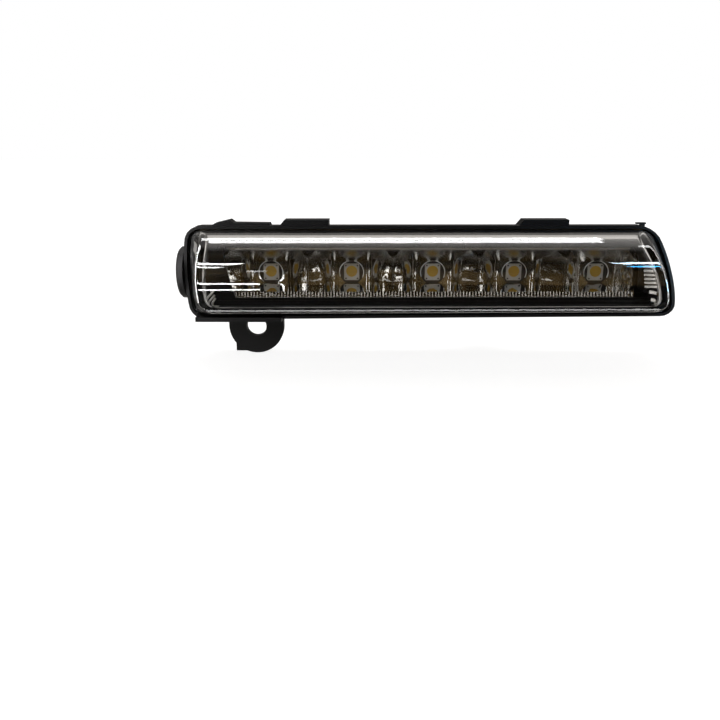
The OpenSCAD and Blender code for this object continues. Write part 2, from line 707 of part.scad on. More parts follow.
// Pan-head screw along the depth, its head's underside at y0; dir 1 drives it backwards
module screw(x, z, y0, length, dir) {
    head = [y0 - dir * screw_head_t, y0];
    shank = [y0, y0 + dir * length];
    difference() {
        union() {
            bar(x, z, screw_head_d / 2, min(head), max(head));
            bar(x, z, screw_d / 2 - 0.05, min(shank) - (dir < 0 ? 0 : 0.1), max(shank) + (dir < 0 ? 0.1 : 0));
        }
        bar(x, z, 0.6, min(head[0], head[0] + dir * 0.8), max(head[0], head[0] + dir * 0.8));
    }
}

module reflector_screws() {
    color([0.7, 0.7, 0.7]) place() for (i = [0:led_count - 2])
        screw(-row_half + (i + 0.5) * led_pitch, 1, spreader_back, 8, -1);
}

module spreader_screws() {
    color([0.7, 0.7, 0.7]) place() for (p = spreader_posts) screw(p[0], p[1], pad_back, 8, 1);
}

module driver_screws() {
    color([0.7, 0.7, 0.7]) place() for (p = driver_posts) screw(p[0], p[1], driver_y, 3.2, 1);
}

rear_housing();
lens();
lens_seal();
bezel();
reflector();
led_board();
for (i = [1:led_count]) led_package(i);
for (i = [1:led_count]) led_phosphor(i);
thermal_pad();
heat_spreader();
driver_board();
driver_chip();
inductor();
input_capacitor();
output_capacitor();
reverse_diode();
surge_suppressor();
sense_resistors();
link_header();
link_pins();
terminal(1);  // terminal_1
terminal(2);  // terminal_2
vent_membrane();
vent_cap();
end_cap();
end_cap_seal();
reflector_screws();
spreader_screws();
driver_screws();
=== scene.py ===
import math

import bmesh
import bpy
from mathutils import Matrix, Vector


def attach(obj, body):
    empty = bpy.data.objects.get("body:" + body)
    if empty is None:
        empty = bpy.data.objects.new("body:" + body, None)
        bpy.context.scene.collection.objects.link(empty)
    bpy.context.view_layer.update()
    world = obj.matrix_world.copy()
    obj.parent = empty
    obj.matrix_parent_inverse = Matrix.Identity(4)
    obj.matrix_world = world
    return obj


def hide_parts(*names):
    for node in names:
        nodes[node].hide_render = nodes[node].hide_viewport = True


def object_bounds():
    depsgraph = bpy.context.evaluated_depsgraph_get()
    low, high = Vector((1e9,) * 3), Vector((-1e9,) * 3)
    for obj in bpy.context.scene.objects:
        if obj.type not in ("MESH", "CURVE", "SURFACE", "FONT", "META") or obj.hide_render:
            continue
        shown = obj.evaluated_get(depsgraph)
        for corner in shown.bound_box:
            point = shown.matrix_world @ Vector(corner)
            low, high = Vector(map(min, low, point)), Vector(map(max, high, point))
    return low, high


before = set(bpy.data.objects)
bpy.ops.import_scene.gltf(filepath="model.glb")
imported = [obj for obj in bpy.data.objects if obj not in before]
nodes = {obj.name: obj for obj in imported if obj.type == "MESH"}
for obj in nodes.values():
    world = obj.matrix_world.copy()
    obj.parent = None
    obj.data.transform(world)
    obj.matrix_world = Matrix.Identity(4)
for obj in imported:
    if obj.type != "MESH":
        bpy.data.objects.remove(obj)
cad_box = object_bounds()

# Camera: a short lens close to the lamp, a little above it and left of its middle, as in the
# photograph. Places are measured in millimetres from the middle of the LED row.
MM = 0.001
ROW_FROM_HOLE = Vector((72.0, -7.5, 23.9))


def at(x, y, z):
    return (Vector((x, y, z)) + ROW_FROM_HOLE) * MM


camera_place = at(-22.46, -284.71, 50.40)
camera_pitch, camera_turn, camera_roll = (math.radians(a) for a in (17.0, 1.28, -0.188))
ahead = Vector((-math.sin(camera_turn) * math.cos(camera_pitch),
                math.cos(camera_turn) * math.cos(camera_pitch), -math.sin(camera_pitch)))
level = ahead.cross(Vector((0, 0, 1))).normalized()
upright = level.cross(ahead)
camera_right = level * math.cos(camera_roll) + upright * math.sin(camera_roll)
camera_up = upright * math.cos(camera_roll) - level * math.sin(camera_roll)
camera = bpy.data.objects.new("camera", bpy.data.cameras.new("camera"))
camera.data.sensor_width = 36.0
camera.data.lens = 36.1
camera.data.clip_start = 0.01
turned = Matrix((camera_right, camera_up, -ahead)).transposed().to_4x4()
camera.matrix_world = Matrix.Translation(camera_place) @ turned
bpy.context.scene.collection.objects.link(camera)
bpy.context.scene.camera = camera

# Housing: black ABS, injection moulded in a finely grained tool. It is one moulding with the
# fixing tab, the lugs and the socket, duller round the lens and more satin towards its back.
SHARP_EDGE, SAME_POINT = 32.0, 2e-6
SHEEN_STARTS, SHEEN_FULL = at(0, 14, 0).y, at(0, 22, 0).y


def linear(colour):
    parts = [int(colour[i:i + 2], 16) / 255 for i in (1, 3, 5)]
    return [((c + 0.055) / 1.055) ** 2.4 if c > 0.04045 else c / 12.92 for c in parts] + [1.0]


def add(tree, kind, links=(), **settings):
    node = tree.nodes.new(kind)
    for name, value in settings.items():
        if name in node.inputs:
            node.inputs[name].default_value = value
        elif name.replace("_", " ") in node.inputs:
            node.inputs[name.replace("_", " ")].default_value = value
        else:
            setattr(node, name, value)
    for socket, source in links:
        tree.links.new(source, node.inputs[socket])
    return node


def finish(name, colour, roughness, grain=None, **more):
    material = bpy.data.materials.new(name)
    material.use_nodes = True
    tree = material.node_tree
    tree.nodes.clear()
    shader = add(tree, "ShaderNodeBsdfPrincipled", Base_Color=linear(colour), Roughness=roughness)
    for socket, value in more.items():
        shader.inputs[socket.replace("_", " ")].default_value = value
    if grain:
        size, depth = grain
        place = add(tree, "ShaderNodeTexCoord")
        noise = add(tree, "ShaderNodeTexNoise", [("Vector", place.outputs["Object"])],
                    Scale=1000 / size, Detail=2.0)
        bump = add(tree, "ShaderNodeBump", [("Height", noise.outputs["Fac"])],
                   Strength=1.0, Distance=depth * MM)
        tree.links.new(bump.outputs["Normal"], shader.inputs["Normal"])
    out = add(tree, "ShaderNodeOutputMaterial")
    tree.links.new(shader.outputs["BSDF"], out.inputs["Surface"])
    return material


def rounded_off(bm, sharp=SHARP_EDGE):
    for face in bm.faces:
        face.smooth = True
    for edge in bm.edges:
        if len(edge.link_faces) == 2:
            edge.smooth = edge.calc_face_angle(0) < math.radians(sharp)


def show(name, bm, material, slot, *stands_for):
    mesh = bpy.data.meshes.new(name)
    bm.to_mesh(mesh)
    bm.free()
    piece = bpy.data.objects.new(name, mesh)
    mesh.materials.append(material)
    bpy.context.scene.collection.objects.link(piece)
    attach(piece, "root")
    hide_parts(*stands_for)


def merged(name, node, material, slot):
    bm = bmesh.new()
    bm.from_mesh(nodes[node].data)
    bmesh.ops.remove_doubles(bm, verts=bm.verts, dist=SAME_POINT)
    rounded_off(bm)
    show(name, bm, material, slot, node)


def object_axes(tree):
    place = add(tree, "ShaderNodeTexCoord")
    return add(tree, "ShaderNodeSeparateXYZ", [("Vector", place.outputs["Object"])]).outputs


def graded(tree, value, start, end, low=0.0, high=1.0):
    grade = add(tree, "ShaderNodeMapRange", [("Value", value)],
                From_Min=start, From_Max=end, To_Min=low, To_Max=high)
    return grade.outputs["Result"]


def feed(material, socket, value):
    tree = material.node_tree
    tree.links.new(value, tree.nodes["Principled BSDF"].inputs[socket])


moulded_abs = finish("moulded black ABS", "#0a090a", 0.45, grain=(0.5, 0.006))
tree = moulded_abs.node_tree
sheen = graded(tree, object_axes(tree)["Y"], SHEEN_STARTS, SHEEN_FULL, 0.12, 0.5)
feed(moulded_abs, "Specular IOR Level", sheen)
merged("housing_moulding", "rear_housing", moulded_abs, "black_housing")

# Lens: clear polycarbonate, injection moulded about 2.4 mm thick and polished, glued into the
# housing's channel. Its section has a bullnose top and is drawn out to flared end walls.
RIM_Y, FRONT_Y = 2.0, -24.2
RIM_TOP, RIM_BOTTOM, FACE_BOTTOM = 16.5, -18.3, -11.6
RIM_LEFT, RIM_RIGHT, FACE_LEFT, FACE_RIGHT = -97.6, 95.9, -88.8, 84.9
MIRROR_LEFT, LAST_WALL, WINDOW_TOP, WINDOW_BOTTOM = -80.0, 72.5, 11.4, -6.25
LENS_WALL, RIM_CORNER_R, FACE_CORNER_R, SIDE_DRAFT, CREASE_REACH = 2.4, 4, 5, 0.8, 1.2
LEFT_BOW, LEFT_FACE_BOW, RIGHT_LEAN, RIGHT_FACE_LEAN, SLIMMING = 1.5, 2.4, 11, 9, 0.09
BESIDE_WINDOW, SPANS, CREASE_SPANS, STEPS_ACROSS = 1.5, 4, 10, (10, 5, 40, 5, 10)
SHELL_CREASE, SMALLEST_BEND = 40, 0.4
lens_corners = [(RIM_Y, RIM_BOTTOM, 0, 0), (FRONT_Y + 0.6, FACE_BOTTOM, 2.2, 5),
                (FRONT_Y + 0.1, WINDOW_BOTTOM, 0, 0), (FRONT_Y - 0.2, -3, 30, 3),
                (FRONT_Y + 2, RIM_TOP + 0.3, 15, 9), (RIM_Y, RIM_TOP, 0, 0)]


def corner_inset(gap, r):
    return 0 if gap >= r else r - math.sqrt(r * r - (r - max(gap, 0)) ** 2)


def slim(x, z):
    return z * (1 - SLIMMING * (x - RIM_LEFT) / (RIM_RIGHT - RIM_LEFT)) if z < 0 else z


def rim_corner(z, out):
    return corner_inset(min(RIM_TOP + out - z, z - RIM_BOTTOM + out), RIM_CORNER_R + out)


def left_side(z, out=0):
    middle, half = (RIM_TOP + RIM_BOTTOM) / 2, (RIM_TOP - RIM_BOTTOM) / 2
    return RIM_LEFT - out + LEFT_BOW * ((z - middle) / half) ** 2 + rim_corner(z, out)


def right_side(z, out=0):
    lean = RIGHT_LEAN * max(0, (z - RIM_BOTTOM) / (RIM_TOP - RIM_BOTTOM)) ** 2
    return RIM_RIGHT + out - lean - rim_corner(z, out)


def arc(before, here, after, r, spans):
    a, b = (before - here).normalized(), (after - here).normalized()
    half = math.acos(max(-1, min(1, a.dot(b)))) / 2
    middle = here + (a + b).normalized() * r / math.sin(half)
    start = here + a * r / math.tan(half) - middle
    side = -1 if a.x * b.y - a.y * b.x > 0 else 1
    turn = side * (math.pi - 2 * half)
    return [middle + Matrix.Rotation(turn * k / spans, 2) @ start for k in range(spans + 1)]


def section_in(inset):
    inner = [Vector((RIM_Y, RIM_BOTTOM + inset))]
    flat = [Vector(c[:2]) for c in lens_corners]
    for k in range(1, len(flat) - 1):
        faces = [(flat[n + 1] - flat[n]).normalized() for n in (k - 1, k)]
        across = [Vector((f.y, -f.x)) for f in faces]
        middle = (across[0] + across[1]).normalized()
        inner.append(flat[k] + middle * inset / middle.dot(across[0]))
    inner.append(Vector((RIM_Y, RIM_TOP - inset)))
    line = [inner[0]]
    for k in range(1, len(inner)):
        last = k == len(inner) - 1
        r, spans = lens_corners[k][2], lens_corners[k][3]
        bend = [inner[k]] if not r else arc(inner[k - 1], inner[k], inner[k + 1],
                                            max(SMALLEST_BEND, r - inset), spans * SPANS)
        steps = SPANS * (2 if k == 1 or last else 1)
        line += [line[-1].lerp(bend[0], t / steps) for t in range(1, steps)] + bend
    return line


outer_section = section_in(0)
SHELL_ROWS = len(outer_section)


def bent(a, b, c):
    reach = min(CREASE_REACH, (a - b).length / 2, (c - b).length / 2)
    p, q = b + (a - b).normalized() * reach, b + (c - b).normalized() * reach
    shares = [t / CREASE_SPANS for t in range(CREASE_SPANS + 1)]
    return [p.lerp(b, share).lerp(b.lerp(q, share), share) for share in shares]


def within(share):
    return max(0, min(1, share))


def shell_row(number, inset, place):
    share = number / (SHELL_ROWS - 1)
    rim_height = RIM_TOP - RIM_BOTTOM - 2 * inset
    z = RIM_BOTTOM + inset + rim_height * (1 - math.cos(math.pi * share)) / 2
    rim_edge = RIM_BOTTOM if share < 0.5 else RIM_TOP
    outer_y, outer_z = outer_section[number]
    depth = within((RIM_Y - outer_y) / (RIM_Y - FRONT_Y))
    face_z = max(FACE_BOTTOM, outer_z)
    corner = corner_inset(face_z - FACE_BOTTOM, FACE_CORNER_R)
    lean = RIGHT_FACE_LEAN * max(0, (face_z - FACE_BOTTOM) / (RIM_TOP - FACE_BOTTOM)) ** 2
    face_l = FACE_LEFT + LEFT_FACE_BOW * (face_z / RIM_TOP) ** 2 + corner
    face_r = FACE_RIGHT - lean - corner
    side_l, side_r = left_side(rim_edge) + SIDE_DRAFT, right_side(rim_edge) - SIDE_DRAFT
    crease_l = side_l + (face_l - side_l) * depth + inset
    crease_r = side_r + (face_r - side_r) * depth - inset
    rise = within((outer_z - WINDOW_BOTTOM) / (WINDOW_TOP - WINDOW_BOTTOM))
    fall = within((-2 - outer_z) / 3)
    window_l = max(crease_l + BESIDE_WINDOW, MIRROR_LEFT + 5.4 - 4.4 * rise)
    window_r = min(crease_r - BESIDE_WINDOW, LAST_WALL + 1 + 4 * fall)
    rim_l, rim_r = (Vector((side(z, -inset), RIM_Y, z)) for side in (left_side, right_side))
    left, right = Vector((crease_l, *place)), Vector((crease_r, *place))
    stops = [[rim_l], bent(rim_l, left, right), [Vector((window_l, *place))],
             [Vector((window_r, *place))], bent(left, right, rim_r), [rim_r]]
    row = [rim_l]
    for k, steps in enumerate(STEPS_ACROSS):
        row += [row[-1].lerp(stops[k + 1][0], t / steps) for t in range(1, steps)] + stops[k + 1]
    return [(p.x, p.y, slim(p.x, p.z)) for p in row]


def shell_skin(inset):
    return [shell_row(number, inset, place) for number, place in enumerate(section_in(inset))]


def two_skins(outside, inside, kept=lambda i, j: True):
    bm = bmesh.new()
    rows, columns = len(outside) - 1, len(outside[0]) - 1
    skins = [[[bm.verts.new(at(*p)) for p in row] for row in skin] for skin in (outside, inside)]
    for i in range(rows):
        for j in range(columns):
            if not kept(i, j):
                continue
            ring = [(i, j), (i + 1, j), (i + 1, j + 1), (i, j + 1)]
            bm.faces.new([skins[0][a][b] for a, b in ring])
            bm.faces.new([skins[1][a][b] for a, b in reversed(ring)])
            beside = [(i, j - 1), (i + 1, j), (i, j + 1), (i - 1, j)]
            for k, (a, b) in enumerate(beside):
                if 0 <= a < rows and 0 <= b < columns and kept(a, b):
                    continue
                p, q = ring[k], ring[(k + 1) % 4]
                bm.faces.new([skins[0][q[0]][q[1]], skins[0][p[0]][p[1]],
                              skins[1][p[0]][p[1]], skins[1][q[0]][q[1]]])
    bmesh.ops.delete(bm, geom=[v for v in bm.verts if not v.link_faces], context="VERTS")
    bmesh.ops.remove_doubles(bm, verts=bm.verts, dist=1e-6)
    bmesh.ops.recalc_face_normals(bm, faces=bm.faces)
    return bm


clear_polycarbonate = finish("polished clear polycarbonate", "#ffffff", 0.0,
                             IOR=1.586, Transmission_Weight=1.0)
lens_mesh = two_skins(shell_skin(0), shell_skin(LENS_WALL))
rounded_off(lens_mesh, SHELL_CREASE)
show("lens_cover", lens_mesh, clear_polycarbonate, "clear_lens", "lens")

# Bezel: black polycarbonate moulded to follow the lens on its inside, satin beside the window
# and grained dull above and below it. It rests on the same seat of the housing as the lens.
BEZEL_OUT, BEZEL_IN = 3.2, 3.8
BAND_MIDDLE, SATIN_ENDS, GRAIN_FULL = at(0, 0, 0.5).z, 8.5 * MM, 9.5 * MM
satin_black = finish("satin black polycarbonate", "#080708", 0.3, Specular_IOR_Level=0.35)
tree = satin_black.node_tree
off_middle = add(tree, "ShaderNodeMath", [(0, object_axes(tree)["Z"])], operation="SUBTRACT")
off_middle.inputs[1].default_value = BAND_MIDDLE
height = add(tree, "ShaderNodeMath", [(0, off_middle.outputs[0])], operation="ABSOLUTE")
feed(satin_black, "Roughness", graded(tree, height.outputs[0], SATIN_ENDS, GRAIN_FULL, 0.3, 0.65))
feed(satin_black, "Specular IOR Level",
     graded(tree, height.outputs[0], SATIN_ENDS, GRAIN_FULL, 0.35, 0.1))
first_open = next(i for i, p in enumerate(outer_section) if p.y >= WINDOW_BOTTOM - 0.01)
last_open = max(i for i, p in enumerate(outer_section) if p.y < WINDOW_TOP + 3)
WINDOW_STARTS, WINDOW_ENDS = 25, 65
bezel_skin = shell_skin(BEZEL_OUT)
bezel_mesh = two_skins(bezel_skin, shell_skin(BEZEL_IN),
                       lambda i, j: not (first_open <= i < last_open
                                         and WINDOW_STARTS <= j < WINDOW_ENDS))
rounded_off(bezel_mesh, SHELL_CREASE)
show("bezel_mask", bezel_mesh, satin_black, "black_bezel", "bezel")

# Flutes and lines: ribs moulded on the end walls of the bezel and coated with aluminium, faceted
# at the right and round at the left, and raised black lines round the lip and the left pocket.
RODS = bpy.data.node_groups.new("rods along paths", "GeometryNodeTree")
for name, kind in (("Paths", "Geometry"), ("Radius", "Float"), ("Sides", "Int"),
                   ("Turn", "Float"), ("Material", "Material")):
    RODS.interface.new_socket(name=name, in_out="INPUT", socket_type="NodeSocket" + kind)
RODS.interface.new_socket(name="Rods", in_out="OUTPUT", socket_type="NodeSocketGeometry")
given = add(RODS, "NodeGroupInput")
curves = add(RODS, "GeometryNodeMeshToCurve", [("Mesh", given.outputs["Paths"])])
ring = add(RODS, "GeometryNodeCurvePrimitiveCircle", [("Resolution", given.outputs["Sides"]),
                                                      ("Radius", given.outputs["Radius"])])
about = add(RODS, "ShaderNodeCombineXYZ", [("Z", given.outputs["Turn"])])
profile = add(RODS, "GeometryNodeTransform", [("Geometry", ring.outputs["Curve"]),
                                              ("Rotation", about.outputs["Vector"])])
round_rod = add(RODS, "FunctionNodeCompare", [(2, given.outputs["Sides"])], data_type="INT",
                operation="GREATER_THAN")
round_rod.inputs[3].default_value = 6
swept = add(RODS, "GeometryNodeCurveToMesh", [("Curve", curves.outputs["Curve"]),
                                              ("Profile Curve", profile.outputs["Geometry"])],
            Fill_Caps=True)
smooth = add(RODS, "GeometryNodeSetShadeSmooth", [("Geometry", swept.outputs["Mesh"]),
                                                  ("Shade Smooth", round_rod.outputs[0])])
whole = add(RODS, "GeometryNodeRealizeInstances", [("Geometry", smooth.outputs["Geometry"])])
clad = add(RODS, "GeometryNodeSetMaterial", [("Geometry", whole.outputs["Geometry"]),
                                             ("Material", given.outputs["Material"])])
add(RODS, "NodeGroupOutput", [("Rods", clad.outputs["Geometry"])])


def rods(name, paths, radius, material, sides=12, turn=0.0):
    wires, points, edges = bpy.data.meshes.new(name), [], []
    for path in paths:
        closed = path[0] == path[-1]
        ends = path[:-1] if closed else path
        start = len(points)
        points += [at(*p) for p in ends]
        edges += [(start + k, start + k + 1) for k in range(len(ends) - 1)]
        edges += [(len(points) - 1, start)] if closed else []
    wires.from_pydata(points, edges, [])
    piece = bpy.data.objects.new(name, wires)
    bpy.context.scene.collection.objects.link(piece)
    modifier = piece.modifiers.new("rods", "NODES")
    modifier.node_group = RODS
    sizes = {"Radius": radius * MM, "Sides": sides, "Turn": math.radians(turn),
             "Material": material}
    for socket in RODS.interface.items_tree:
        if socket.in_out == "INPUT" and socket.name in sizes:
            modifier[socket.identifier] = sizes[socket.name]
    shown = piece.evaluated_get(bpy.context.evaluated_depsgraph_get())
    solid = bpy.data.meshes.new_from_object(shown)
    piece.modifiers.remove(modifier)
    piece.data = solid
    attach(piece, "root")


def on_bezel(z, column):
    i = next(k for k in range(SHELL_ROWS - 1) if bezel_skin[k + 1][column][2] >= z)
    low, high = Vector(bezel_skin[i][column]), Vector(bezel_skin[i + 1][column])
    return low.lerp(high, (z - low.z) / (high.z - low.z))


def flute(high, low, columns):
    last = len(columns) - 1
    return [on_bezel(high + (low - high) * k / last, column)[:] for k, column in enumerate(columns)]


def slanted_flute(low, high, columns):
    across = [bezel_skin[0][column][0] for column in columns]
    shares = [(x - across[0]) / (across[-1] - across[0]) for x in across]
    return [on_bezel(low + (high - low) * share, column)[:]
            for share, column in zip(shares, columns)]


def half_round(x, z, r):
    turns = [math.pi * k / 12 for k in range(13)]
    return [(x + r * math.sin(t), z + r * math.cos(t)) for t in turns]


ON_RIGHT_WALL, ON_LEFT_WALL = range(67, 88), range(12, 22)
FACETS, FACET_TURN = 4, 21
FINE_FLUTE_PITCH, BROAD_FLUTE_DROP, LEFT_FLUTE_RISE = 1.4, 2.4, 3.2
FINE_FLUTE_R, BROAD_FLUTE_R, LEFT_FLUTE_R, LIP_LINE_R, POCKET_LINE_R = 0.6, 0.8, 0.42, 0.22, 0.2
# The right flutes' coat is painted darker than the left flutes' coat: a painted shade that dims their
# reflections.
flute_coat_painted_darker = finish("aluminised flutes", "#8c8a86", 0.16, Metallic=1.0)
satin_coat = finish("satin aluminised flutes", "#dcdad6", 0.38, Metallic=1.0)
fine_flutes = [flute(5.3 - FINE_FLUTE_PITCH * k, 5.0 - FINE_FLUTE_PITCH * k, ON_RIGHT_WALL)
               for k in range(6)]
broad_flutes = [flute(high, high - BROAD_FLUTE_DROP, ON_RIGHT_WALL) for high in (-3.6, -6.4)]
left_flutes = [slanted_flute(low, low + LEFT_FLUTE_RISE, ON_LEFT_WALL)
               for low in (-6.4, -8.0, -9.1)]
rods("fine_flutes", fine_flutes, FINE_FLUTE_R, flute_coat_painted_darker, FACETS, FACET_TURN)
rods("broad_flutes", broad_flutes, BROAD_FLUTE_R, flute_coat_painted_darker, FACETS, FACET_TURN)
rods("left_flutes", left_flutes, LEFT_FLUTE_R, satin_coat)

FRONT_COLUMN = 45
lip_left, lip_right, lip_top, lip_foot = -84.2, 79.0, -6.7, -9.1
lip_r, lip_middle = (lip_top - lip_foot) / 2, (lip_top + lip_foot) / 2
lip = (half_round(lip_left + lip_r, lip_middle, -lip_r)
       + half_round(lip_right - lip_r, lip_middle, lip_r))
pocket = [(-86.5, -4.5), (-86.5, 0.2), (-86.2, 1.2), (-85.4, 1.9), (-84.2, 2.2), (-76.5, 2.2)]
for name, line, radius in (("lip_bead", lip + lip[:1], LIP_LINE_R),
                           ("pocket_edge", pocket, POCKET_LINE_R)):
    rods(name, [[(x, on_bezel(z, FRONT_COLUMN).y, z) for x, z in line]], radius, satin_black)

# Reflector: one moulding coated with aluminium under vacuum, so it mirrors. Its cell walls carry
# fine streaks, the last wall is dented, and the coat turns dull under the roof of the cells.
STREAK, STREAK_DEPTH, DENT, DENT_DEPTH = (size * MM for size in (3.0, 0.1, 3.4, 1.6))
WALLS_START, WALLS_FULL = at(0, -1, 0).y, at(0, -3, 0).y
STRIP_ENDS, CELLS_START = at(0, 0, -4.6).z, at(0, 0, -3.9).z
DENTS_START, DENTS_FULL = at(70.2, 0, 0).x, at(71.2, 0, 0).x
DULL_STARTS, DULL_FULL = at(0, 0, 4.5).z, at(0, 0, 7.5).z
mirror_coat = finish("vacuum aluminised mirror", "#c9c8c6", 0.045, grain=(3.0, 0.05), Metallic=1.0)
tree = mirror_coat.node_tree
axes = object_axes(tree)
place = add(tree, "ShaderNodeTexCoord")
in_front = graded(tree, axes["Y"], WALLS_START, WALLS_FULL)
over_strip = graded(tree, axes["Z"], STRIP_ENDS, CELLS_START)
on_cells = add(tree, "ShaderNodeMath", [(0, in_front), (1, over_strip)], operation="MULTIPLY")
drawn = add(tree, "ShaderNodeMapping", [("Vector", place.outputs["Object"])])
drawn.inputs["Scale"].default_value = (1.0, 0.12, 0.12)
streaks = add(tree, "ShaderNodeTexNoise", [("Vector", drawn.outputs["Vector"])],
              Scale=1 / STREAK, Detail=1.0)
streaked = add(tree, "ShaderNodeBump", [("Height", streaks.outputs["Fac"]),
                                        ("Strength", on_cells.outputs[0])], Distance=STREAK_DEPTH)
on_last_wall = graded(tree, axes["X"], DENTS_START, DENTS_FULL)
dents = add(tree, "ShaderNodeTexNoise", [("Vector", place.outputs["Object"])],
            Scale=1 / DENT, Detail=2.0)
dented = add(tree, "ShaderNodeBump", [("Height", dents.outputs["Fac"]), ("Strength", on_last_wall),
                                      ("Normal", streaked.outputs["Normal"])],
             Distance=DENT_DEPTH)
tree.links.new(dented.outputs["Normal"], tree.nodes["Bump"].inputs["Normal"])
feed(mirror_coat, "Roughness", graded(tree, axes["Z"], DULL_STARTS, DULL_FULL, 0.045, 0.26))
merged("reflector_moulding", "reflector", mirror_coat, "mirror_coat")

# Rims of the LED holes and ribs of the strip below the cells: both belong to the reflector. The
# rims are white arcs over the upper part of each hole, a painted highlight, and the ribs mirror as the
# cells do.
LED_PLACES = [-64 + 32 * k for k in range(5)]
HOLE_R, RIM_R, RIM_DEPTH = 4.75, 0.13, -0.7
RIB_COUNT, RIB_PITCH, RIB_SPANS, RIB_R = 133, 1.15, 3, 0.38
RIB_TOP, RIB_FOOT = Vector((-18.35, -4.3)), Vector((-19.05, -6.8))


def hole_highlight_arc(x):
    turns = [math.radians(t) for t in range(-25, 201, 9)]
    return [(x + HOLE_R * math.cos(t), RIM_DEPTH, HOLE_R * math.sin(t)) for t in turns]


def strip_rib(number):
    left = MIRROR_LEFT + RIB_PITCH * number
    line = [RIB_TOP.lerp(RIB_FOOT, t / RIB_SPANS) for t in range(RIB_SPANS + 1)]
    return [(left + RIB_PITCH / 2, y, slim(left, z)) for y, z in line]


# White arcs over the upper part of each hole's edge: a painted highlight, not a bare moulding.
painted_rim_highlight = finish("white rim arcs, painted highlight", "#efeeea", 0.4)
rods("hole_edge_highlights", [hole_highlight_arc(x) for x in LED_PLACES], RIM_R, painted_rim_highlight)
rods("strip_ribs", [strip_rib(k) for k in range(RIB_COUNT)], RIB_R, mirror_coat)

# LED packages: white ceramic-filled epoxy bodies soldered to the board, each with a round
# disc of yellow phosphor in silicone over its chip and four dark terminal marks.
white_epoxy = finish("white epoxy LED body", "#a9a296", 0.45)
yellow_phosphor = finish("yellow phosphor in silicone", "#a07a12", 0.5)
black_epoxy = finish("moulded black epoxy", "#1b1b1c", 0.5)


def dress(material, *names):
    for name in names:
        for place in nodes[name].material_slots:
            place.material = material


for number in range(1, 6):
    dress(white_epoxy, f"led_{number}")
    merged(f"phosphor_disc_{number}", f"phosphor_{number}", yellow_phosphor, "phosphor")
MARK_R, MARK_FRONT, MARK_BACK = 0.34, 0.05, 0.15
marks = [(x + across, up) for x in LED_PLACES for across in (-2.3, 2.3) for up in (-2.6, 2.6)]
rods("terminal_marks", [[(x, MARK_FRONT, z), (x, MARK_BACK, z)] for x, z in marks], MARK_R,
     black_epoxy)

# Boards, pad and heat spreader: the LED board in near-black, a painted shade that darkens the
# holes round each LED, the grey gap pad, the bare extruded aluminium of the spreader, and the green
# driver board behind it.
# The LED board's near-black colour is painted shade: it darkens the reflector's holes round each LED.
dress(finish("near-black LED board, painted shade", "#141312", 0.45), "led_board")
dress(finish("grey gap pad", "#8a94a4", 0.7), "thermal_pad")
dress(finish("extruded aluminium", "#c4c6c9", 0.35, Metallic=1.0), "heat_spreader")
dress(finish("green solder mask", "#1b5a33", 0.4), "driver_board")

# Parts on the driver board: black epoxy packages, a ferrite inductor, aluminium cans, and
# the header and pins that link the two boards.
dress(black_epoxy, "driver_chip", "reverse_diode", "surge_suppressor", "sense_resistors",
      "link_header")
dress(finish("sintered ferrite", "#3a3634", 0.6), "inductor")
can = finish("drawn aluminium can", "#b8bac0", 0.3, Metallic=1.0)
merged("input_can", "input_capacitor", can, "can_metal")
merged("output_can", "output_capacitor", can, "can_metal")
brass = finish("brass pin", "#c9a557", 0.3, Metallic=1.0)
merged("link_pin_row", "link_pins", brass, "pin_brass")

# Connector blades: brass strip stamped and tinned, soldered to the driver board and standing
# in the housing's socket.
dress(finish("tinned brass", "#c6c3b8", 0.32, Metallic=1.0), "terminal_1", "terminal_2")

# Breather and end cap: a snap-on polypropylene cap over a PTFE membrane, and a black rubber
# cap with its O-ring in the boss on the left end.
merged("breather_cap", "vent_cap", finish("black polypropylene", "#121213", 0.45), "cap_rubber")
merged("breather_membrane", "vent_membrane", finish("PTFE membrane", "#e6e6e2", 0.6), "membrane")
cap_rubber = finish("black moulded rubber", "#0e0d0e", 0.5, grain=(0.6, 0.01), Specular_IOR_Level=0.15)
merged("round_end_cap", "end_cap", cap_rubber, "cap_rubber")
merged("end_cap_ring", "end_cap_seal", finish("black rubber ring", "#161616", 0.6), "seal_rubber")
dress(finish("black silicone sealant", "#101011", 0.45), "lens_seal")

# Screws: zinc-plated thread-forming screws.
zinc = finish("zinc-plated steel", "#a9abaf", 0.3, Metallic=1.0)
for name in ("reflector_screws", "spreader_screws", "driver_screws"):
    merged(name.replace("_", "_mounting_"), name, zinc, "screw_steel")

# Floor: a plain white sheet. It glows for the camera, less near the lamp, so that the lamp's
# shadow shows. What mirrors it sees a pale sheet that ends at the lamp, and the dark room before.
SHEET_EDGE, SHEET_FULL, NEAR_LAMP, FAR_OFF = -0.032, -0.012, 0.15, 0.6
floor_mesh = bmesh.new()
reach = 3.0
lowest = cad_box[0][2]
floor_mesh.faces.new([floor_mesh.verts.new((x, y, lowest)) for x, y in
                      ((-reach, -reach), (reach, -reach), (reach, reach), (-reach, reach))])
floor_data = bpy.data.meshes.new("floor")
floor_mesh.to_mesh(floor_data)
floor_mesh.free()
floor = bpy.data.objects.new("floor", floor_data)
bpy.context.scene.collection.objects.link(floor)
paper = bpy.data.materials.new("white sheet")
paper.use_nodes = True
tree = paper.node_tree
tree.nodes.clear()
place = add(tree, "ShaderNodeTexCoord")
away = add(tree, "ShaderNodeVectorMath", [("Vector", place.outputs["Object"])], operation="LENGTH")
glow = graded(tree, away.outputs["Value"], NEAR_LAMP, FAR_OFF, 0.86, 1.0)
seen = add(tree, "ShaderNodeEmission", [("Strength", glow)], Color=linear("#ffffff"))
lit = add(tree, "ShaderNodeBsdfDiffuse", Color=linear("#a0a0a0"))
